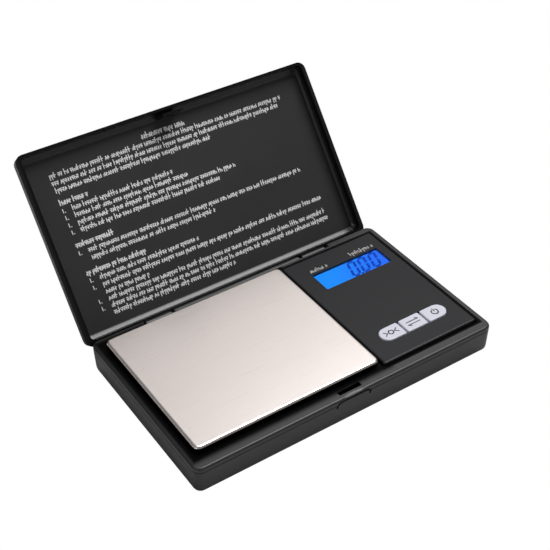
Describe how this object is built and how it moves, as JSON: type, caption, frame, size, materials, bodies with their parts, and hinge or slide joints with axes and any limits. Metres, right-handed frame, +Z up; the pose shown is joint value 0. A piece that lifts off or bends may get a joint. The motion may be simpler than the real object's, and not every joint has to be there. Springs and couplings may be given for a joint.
{
  "type": "digital gram scale",
  "caption": "Flip-lid pocket gram scale, lid open: shallow black case, square steel weighing tray on a load cell, backlit display and soft keys on a raised panel.",
  "frame": {"origin": "centre of the case's flat underside, which stands 0.6 mm above the table on the feet", "axes": "+X along the case from the tray to the display, +Y towards the lid's hinge, +Z up"},
  "size_m": [0.13, 0.1294, 0.0677],
  "materials": {
    "case": "fine satin texture",
    "fascia": "fine satin texture",
    "key": "satin",
    "tray": "fine brushed",
    "inner_plastic": "moulded",
    "lens": "polished, clear",
    "display": "backlit blue",
    "diffuser": "frosted",
    "zebra": "matte",
    "board": "solder resist",
    "epoxy": "gloss",
    "switch": "moulded",
    "beam": "machined",
    "silicone": "satin",
    "screw": "dark zinc plate",
    "nickel": "nickel plate",
    "wire_red": "satin",
    "wire_black": "satin",
    "wire_green": "satin",
    "wire_white": "satin",
    "cell": "plain printed sleeve",
    "foot": "matte"
  },
  "bodies": {
    "base": {"bottom_shell": "case", "top_shell": "case", "control_panel": "fascia", "lcd_lens": "lens", "lcd_glass": "display", "backlight_panel": "diffuser", "zebra_strip": "zebra", "main_board": "board", "chip_blob": "epoxy", "crystal_can": "nickel", "board_screw_left": "screw", "board_screw_right": "screw", "tare_switch": "switch", "mode_switch": "switch", "power_switch": "switch", "load_cell": "beam", "gauge_coating_top": "silicone", "gauge_coating_bottom": "silicone", "load_cell_screw_a": "screw", "load_cell_screw_b": "screw", "overload_stop": "screw", "load_wire_red": "wire_red", "load_wire_black": "wire_black", "load_wire_green": "wire_green", "load_wire_white": "wire_white", "battery_wire_red": "wire_red", "battery_wire_black": "wire_black", "battery_front": "cell", "battery_rear": "cell", "positive_contact": "nickel", "negative_contact": "nickel", "negative_spring": "nickel", "series_link": "nickel", "series_spring": "nickel", "case_screw_front_left": "screw", "case_screw_front_right": "screw", "case_screw_rear_left": "screw", "case_screw_rear_right": "screw", "foot_front_left": "foot", "foot_front_right": "foot", "foot_rear_left": "foot", "foot_rear_right": "foot", "hinge_pin_left": "screw", "hinge_pin_right": "screw", "latch_catch": "nickel"},
    "lid": {"lid": "case"},
    "tray": {"weighing_tray": "tray", "tray_carrier": "inner_plastic", "carrier_screw_a": "screw", "carrier_screw_b": "screw"},
    "tare_key": {"key_tare": "key", "tare_plunger": "inner_plastic"},
    "mode_key": {"key_mode": "key", "mode_plunger": "inner_plastic"},
    "power_key": {"key_power": "key", "power_plunger": "inner_plastic"},
    "battery_door": {"battery_door": "case"}
  },
  "joints": [
    {"name": "lid_hinge", "type": "hinge", "parent": "base", "child": "lid", "pos_m": [0, 0.0379, 0.0094], "axis": [1, 0, 0], "range_deg": [0, 128.5]},
    {"name": "tray_deflection", "type": "slide", "parent": "base", "child": "tray", "axis": [0, 0, -1], "range_m": [0, 0.0003], "stiffness_N_per_m": 3300, "springref_m": -0.00015},
    {"name": "tare_key_press", "type": "slide", "parent": "base", "child": "tare_key", "axis": [0, 0, -1], "range_m": [0, 0.0005], "stiffness_N_per_m": 1500, "springref_m": -0.0004},
    {"name": "mode_key_press", "type": "slide", "parent": "base", "child": "mode_key", "axis": [0, 0, -1], "range_m": [0, 0.0005], "stiffness_N_per_m": 1500, "springref_m": -0.0004},
    {"name": "power_key_press", "type": "slide", "parent": "base", "child": "power_key", "axis": [0, 0, -1], "range_m": [0, 0.0005], "stiffness_N_per_m": 1500, "springref_m": -0.0004},
    {"name": "battery_door_hinge", "type": "hinge", "parent": "base", "child": "battery_door", "pos_m": [-0.0519, -0.0223, 0.0001], "axis": [0, 1, 0], "range_deg": [0, 40]}
  ]
}
